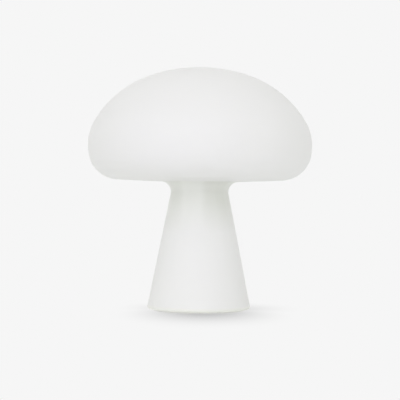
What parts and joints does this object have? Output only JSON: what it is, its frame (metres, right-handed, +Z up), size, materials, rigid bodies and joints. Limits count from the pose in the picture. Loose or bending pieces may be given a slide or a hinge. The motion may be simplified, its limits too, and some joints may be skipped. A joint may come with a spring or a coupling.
{
  "type": "mushroom table lamp",
  "caption": "Cordless mushroom table lamp: one-piece opal glass cap and flared stem, with a light core inside and a push button and charging socket under the foot.",
  "frame": {"origin": "centre of the foot, on the table", "axes": "+Z up along the stem, front towards -Y, charging socket on the +Y side of the underside"},
  "size_m": [0.225, 0.225, 0.2437],
  "materials": {
    "opal_glass": "satin-frosted opal white, faint green-grey tint",
    "white_moulding": "fine matt moulding",
    "opal_moulding": "milky translucent, satin",
    "clear_moulding": "clear light pipe",
    "silicone": "matt silicone",
    "weight_steel": "zinc plated",
    "screw_steel": "bright zinc",
    "socket_steel": "nickel plated",
    "nickel_strip": "plain nickel",
    "aluminium": "clear anodised",
    "board_green": "solder mask",
    "board_white": "white solder mask",
    "pad_grey": "thermal pad",
    "black_moulding": "fine matt",
    "chip_black": "moulded package",
    "connector_ivory": "nylon",
    "phosphor": "yellow phosphor in a white frame",
    "cell_wrap": "shrink wrap",
    "wire_red": "lead insulation",
    "wire_black": "lead insulation"
  },
  "bodies": {
    "lamp": {"glass_shade": "opal_glass", "foot_collar": "white_moulding", "collar_bond": "silicone", "base_cover": "white_moulding", "foot_ring": "silicone", "base_screws": "screw_steel", "ballast_ring": "weight_steel", "ballast_screws": "screw_steel", "push_switch": "black_moulding", "control_board": "board_green", "board_screws": "screw_steel", "charge_socket": "socket_steel", "socket_tongue": "black_moulding", "indicator_led": "phosphor", "indicator_lens": "clear_moulding", "charge_chip": "chip_black", "driver_coil": "black_moulding", "light_connector": "connector_ivory", "battery_connector": "connector_ivory", "cell_tray_lower": "white_moulding", "cell_tray_upper": "white_moulding", "battery_cells": "cell_wrap", "cell_tab_lower": "nickel_strip", "cell_tab_upper": "nickel_strip", "core_sleeve": "white_moulding", "core_screws": "screw_steel", "neck_gasket": "silicone", "heat_sink": "aluminium", "thermal_pad": "pad_grey", "led_board": "board_white", "led_chips": "phosphor", "led_screws": "screw_steel", "diffuser_dome": "opal_moulding", "light_lead_red": "wire_red", "light_lead_black": "wire_black", "battery_lead_red": "wire_red", "battery_lead_black": "wire_black"},
    "power_button": {"power_button": "white_moulding", "switch_plunger": "black_moulding"}
  },
  "joints": [
    {"name": "power_button_press", "type": "slide", "parent": "lamp", "child": "power_button", "axis": [0, 0, 1], "range_m": [0, 0.0008], "stiffness_N_per_m": 900, "springref_m": -0.0006}
  ]
}
